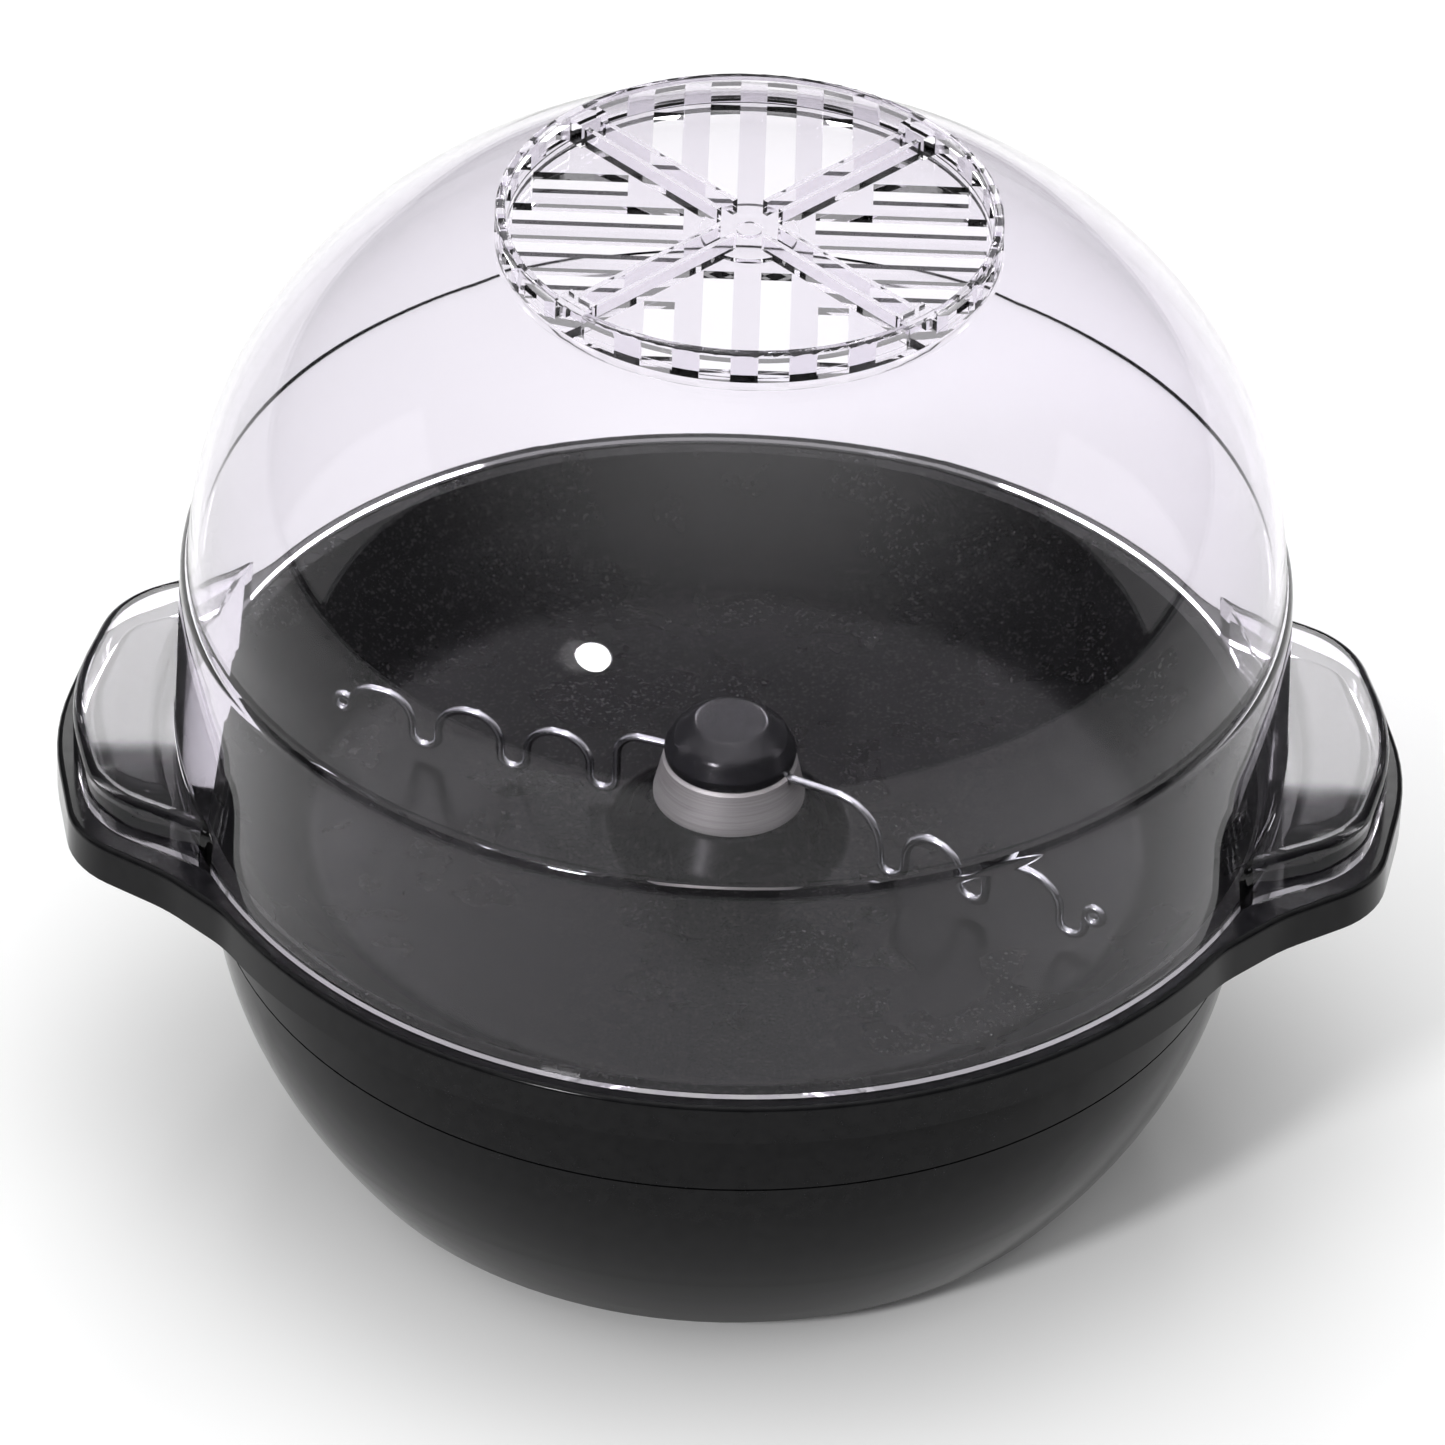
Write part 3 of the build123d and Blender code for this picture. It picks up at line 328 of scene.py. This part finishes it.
def inner_profile(outer):
    """The same line moved inwards by the wall, with its foot kept level."""
    inner = []
    for index, point in enumerate(outer):
        along = outer[min(index + 1, len(outer) - 1)] - outer[max(index - 1, 0)]
        inner.append(point + Vector((-along.z, 0, along.x)).normalized() * SKIN_T)
    inner[0].z = outer[0].z
    return inner


def add_turned(shape, points):
    """Spins a line of points round the upright axis."""
    verts = [shape.verts.new(point) for point in points]
    edges = [shape.edges.new(pair) for pair in zip(verts, verts[1:])]
    bmesh.ops.spin(shape, geom=verts + edges, cent=(0, 0, 0), axis=(0, 0, 1),
                   angle=math.tau, steps=ROUND_STEPS, use_merge=True)


def skirt_radius(z):
    share = (z - SKIRT_FOOT.z) / (SKIRT_TOP.z - SKIRT_FOOT.z)
    return SKIRT_FOOT.x + (SKIRT_TOP.x - SKIRT_FOOT.x) * share


def is_skin(face):
    spots = [(math.hypot(v.co.x, v.co.y), v.co.z) for v in face.verts]
    on_wall = all(r <= skirt_radius(z) + NEAR for r, z in spots)
    return on_wall and any(r > VENT_EDGE.x + NEAR for r, z in spots)


def vent_seam(shape, low, high):
    """Open edges round the vent between two heights."""
    seam = []
    for edge in shape.edges:
        heights = [v.co.z for v in edge.verts]
        reach = [math.hypot(v.co.x, v.co.y) for v in edge.verts]
        level = low < min(heights) and max(heights) < high
        if edge.is_boundary and level and max(reach) < VENT_REACH:
            seam.append(edge)
    return seam


def close_trays(shape):
    """Caps each handle tray where it meets the skirt, with a hair of room."""
    rims = [e for e in shape.edges if e.is_boundary and e.verts[0].co.z < TRAY_LIMIT_Z]
    corners = {v for e in rims for v in e.verts}
    bmesh.ops.holes_fill(shape, edges=rims, sides=0)
    for vert in corners:
        vert.co.x *= TRAY_ROOM
        vert.co.y *= TRAY_ROOM


def clear_dome_cover():
    shape = bmesh.new()
    shape.from_mesh(frame["nodes"]["cover"].data)
    bmesh.ops.remove_doubles(shape, verts=shape.verts, dist=MERGE)
    bmesh.ops.delete(shape, geom=[f for f in shape.faces if is_skin(f)], context="FACES")
    close_trays(shape)
    outer = skin_profile()
    outer[-1] = VENT_EDGE + VENT_GAP
    inner = inner_profile(outer)
    inner[-1] = outer[-1] - Vector((0, 0, SEAM_DROP))
    add_turned(shape, list(reversed(outer)) + inner)
    for low, high in (VENT_TOP_SEAM, VENT_LOW_SEAM):
        bmesh.ops.bridge_loops(shape, edges=vent_seam(shape, low, high))
    bmesh.ops.recalc_face_normals(shape, faces=shape.faces)
    return finished(shape, "clear_dome_cover", "cover", "clear_cover", ("cover",), COVER_ANGLE)


SHOWN = (
    ("pan", "nonstick_hub_pan", "base", "nonstick_pan", SOFT_ANGLE),
    ("upper_housing", "rim_and_grips", "base", "black_gloss", SOFT_ANGLE),
    ("lower_housing", "bowl_housing", "base", "black_gloss", SOFT_ANGLE),
    ("base_plate", "foot_ring_plate", "base", "grey_plastic", SOFT_ANGLE),
    ("knob", "stirrer_knob", "knob", "knob_black", SOFT_ANGLE),
    ("stir_collar", "flared_collar", "stirrer", "collar_metal", SOFT_ANGLE),
    ("stirring_rod", "waved_wire", "stirrer", "wire_steel", WIRE_ANGLE),
)

for part in frame["record"]["subparts"]:
    for material_slot in frame["nodes"][part["node"]].material_slots:
        material_slot.material = FINISHES[part["material_slot"]]

for row in SHOWN:
    smooth_copy(*row)
clear_dome_cover()


# ---------------------------------------------------------------- stage
FLOOR_HALF = 4.0
TENT_FALLOFF = 4.0
TENT_DIM = 0.10                 # strength at the horizon
TENT_BRIGHT = 2.5               # strength overhead
SIDE_BOX = (0.6, 1.2)
GRIP_STRIP = (0.26, 0.34)
GLINT_DISC = (0.26, 0.26)


def pale_floor():
    shape = bmesh.new()
    bmesh.ops.create_grid(shape, x_segments=8, y_segments=8, size=FLOOR_HALF)
    mesh = bpy.data.meshes.new("pale_floor")
    shape.to_mesh(mesh)
    shape.free()
    floor = bpy.data.objects.new("pale_floor", mesh)
    bpy.context.scene.collection.objects.link(floor)
    material, tree, shader = new_finish("matt_pale_floor")
    vector = place_in_object(tree)
    tree.links.new(two_tone(tree, noise(tree, vector, 3), (0.93, 0.93, 0.93), (0.96, 0.96, 0.96)),
                   shader.inputs["Base Color"])
    shader.inputs["Roughness"].default_value = 0.9
    shader.inputs["Specular IOR Level"].default_value = 0.1
    floor.data.materials.append(material)


def soft_box(name, place, aim, size, power, outline="RECTANGLE"):
    data = bpy.data.lights.new(name, "AREA")
    data.shape = outline
    data.size = size[0]
    if outline == "RECTANGLE":
        data.size_y = size[1]
    data.energy = power
    lamp = bpy.data.objects.new(name, data)
    bpy.context.scene.collection.objects.link(lamp)
    lamp.location = place
    lamp.rotation_euler = (Vector(aim) - Vector(place)).to_track_quat("-Z", "Y").to_euler()
    return lamp


def room_light(low, high):
    """A light tent: dim at the horizon and bright overhead, with no edge to mirror."""
    world = bpy.data.worlds.new("studio")
    world.use_nodes = True
    tree = world.node_tree
    tree.nodes["Background"].inputs["Color"].default_value = (1, 1, 1, 1)
    coords = tree.nodes.new("ShaderNodeTexCoord")
    split = tree.nodes.new("ShaderNodeSeparateXYZ")
    lift = tree.nodes.new("ShaderNodeMath")
    lift.operation = "MAXIMUM"
    lift.inputs[1].default_value = 0.0
    curve = tree.nodes.new("ShaderNodeMath")
    curve.operation = "POWER"
    curve.inputs[1].default_value = TENT_FALLOFF
    tree.links.new(coords.outputs["Generated"], split.inputs["Vector"])
    tree.links.new(split.outputs["Z"], lift.inputs[0])
    tree.links.new(lift.outputs[0], curve.inputs[0])
    tree.links.new(spread(tree, curve.outputs[0], 0, 1, low, high),
                   tree.nodes["Background"].inputs["Strength"])
    bpy.context.scene.world = world


# Camera: a long lens looks down at the middle of the seat.
CAMERA_PITCH = math.radians(36.95)
CAMERA_ROLL = math.radians(2.05)
CAMERA_RANGE = 2.5
CAMERA_TARGET = Vector((0, 0, 0.100))
CAMERA_LENS = 241.7
AIM_RIGHT = -0.00228
AIM_UP = 0.01608


def long_lens_camera():
    ahead = Vector((0, math.cos(CAMERA_PITCH), -math.sin(CAMERA_PITCH)))
    right = Vector((1, 0, 0))
    up = right.cross(ahead)
    place = CAMERA_TARGET - ahead * CAMERA_RANGE
    view = (ahead * CAMERA_RANGE + right * AIM_RIGHT + up * AIM_UP).normalized()
    side = view.cross(Vector((0, 0, 1))).normalized()
    top = side.cross(view)
    lean = math.cos(CAMERA_ROLL) * top - math.sin(CAMERA_ROLL) * side
    across = math.cos(CAMERA_ROLL) * side + math.sin(CAMERA_ROLL) * top
    turn = Matrix((across, lean, -view)).transposed().to_4x4()
    data = bpy.data.cameras.new("long_lens")
    data.lens = CAMERA_LENS
    data.sensor_width = 36
    data.clip_end = 50
    camera = bpy.data.objects.new("long_lens", data)
    bpy.context.scene.collection.objects.link(camera)
    camera.matrix_world = Matrix.Translation(place) @ turn
    bpy.context.scene.camera = camera


pale_floor()
room_light(TENT_DIM, TENT_BRIGHT)
for side, hand in ((-1, "left"), (1, "right")):
    soft_box(hand + "_side_box", (side * 1.7, 0.25, 0.75), (0, 0, 0.12), SIDE_BOX, power=2.2)
for side, hand in ((-1, "left"), (1, "right")):
    soft_box(hand + "_grip_strip", (side * 0.27, 1.6, 1.13), (side * 0.15, 0, 0.12), GRIP_STRIP,
             power=2.4)
soft_box("front_disc", (-0.95, -1.6, 1.19), (-0.03, -0.12, 0.226), GLINT_DISC,
         power=20, outline="DISK")
long_lens_camera()
bpy.context.scene.view_settings.view_transform = "Standard"
